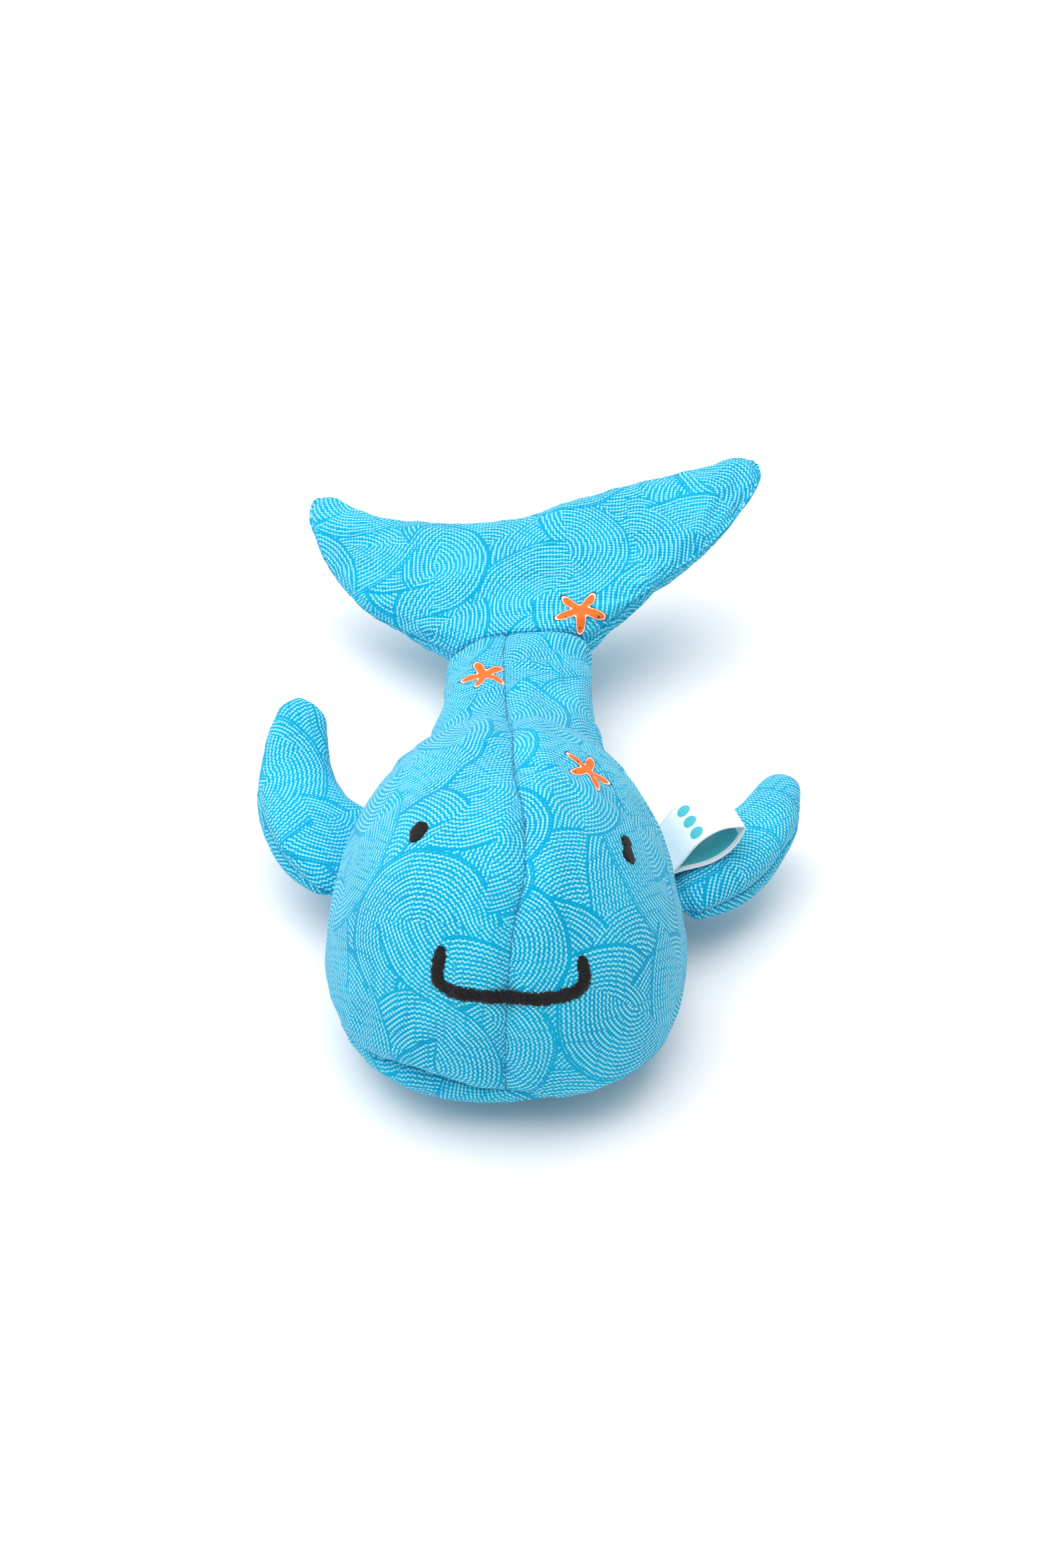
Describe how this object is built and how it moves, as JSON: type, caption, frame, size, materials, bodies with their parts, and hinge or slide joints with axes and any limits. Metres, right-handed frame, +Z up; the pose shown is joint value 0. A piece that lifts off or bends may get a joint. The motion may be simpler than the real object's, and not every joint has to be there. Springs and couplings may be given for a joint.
{
  "type": "plush whale",
  "caption": "Small stuffed whale of printed canvas with a hinged tail fluke, two sewn flippers, stitched face and a ribbon loop.",
  "frame": {"origin": "middle of the flat patch of belly that rests on the table", "axes": "+Z up, -Y towards the nose, +Y towards the tail fluke, +X towards the whale's own left"},
  "size_m": [0.1336, 0.2274, 0.068],
  "materials": {
    "print_cloth": "cotton canvas printed with pale wave arcs, matt",
    "deep_print_cloth": "the same cotton canvas, matt",
    "blue_thread": "sewing thread, matt",
    "black_thread": "satin stitch embroidery, slight sheen",
    "fill": "loose polyester fibre",
    "ribbon": "woven ribbon, satin"
  },
  "bodies": {
    "whale_body": {"left_side_panel": "print_cloth", "right_side_panel": "print_cloth", "belly_panel": "deep_print_cloth", "body_stuffing": "fill", "centre_seam_thread": "blue_thread", "under_tail_seam_thread": "blue_thread", "belly_seam_thread": "blue_thread", "tail_seam_thread": "blue_thread", "closing_stitch": "blue_thread", "mouth_embroidery": "black_thread", "left_eye": "black_thread", "right_eye": "black_thread"},
    "fluke": {"fluke_upper_panel": "print_cloth", "fluke_lower_panel": "deep_print_cloth", "fluke_edge_thread": "blue_thread", "fluke_stuffing": "fill"},
    "left_flipper": {"left_flipper_upper_panel": "print_cloth", "left_flipper_lower_panel": "deep_print_cloth", "left_flipper_edge_thread": "blue_thread", "left_flipper_stuffing": "fill"},
    "right_flipper": {"right_flipper_upper_panel": "print_cloth", "right_flipper_lower_panel": "deep_print_cloth", "right_flipper_edge_thread": "blue_thread", "right_flipper_stuffing": "fill"},
    "label": {"label_loop": "ribbon"}
  },
  "joints": [
    {"name": "fluke_hinge", "type": "hinge", "parent": "whale_body", "child": "fluke", "pos_m": [0.00287, 0.102, 0.0206], "axis": [0.9903, 0, 0.1392], "range_deg": [-22, 20], "stiffness_Nm_per_rad": 0.08},
    {"name": "left_flipper_hinge", "type": "hinge", "parent": "whale_body", "child": "left_flipper", "pos_m": [0.03513, 0.01551, 0.01539], "axis": [0.2858, -0.9581, -0.0201], "range_deg": [-18, 5], "stiffness_Nm_per_rad": 0.03},
    {"name": "right_flipper_hinge", "type": "hinge", "parent": "whale_body", "child": "right_flipper", "pos_m": [-0.03485, 0.02059, 0.0155], "axis": [0.3302, 0.9438, 0.0128], "range_deg": [-25, 18], "stiffness_Nm_per_rad": 0.03},
    {"name": "label_hinge", "type": "hinge", "parent": "whale_body", "child": "label", "pos_m": [0.03449, 0.01522, 0.021], "axis": [0.3099, -0.9508, 0], "range_deg": [0, 40], "stiffness_Nm_per_rad": 0.002}
  ]
}
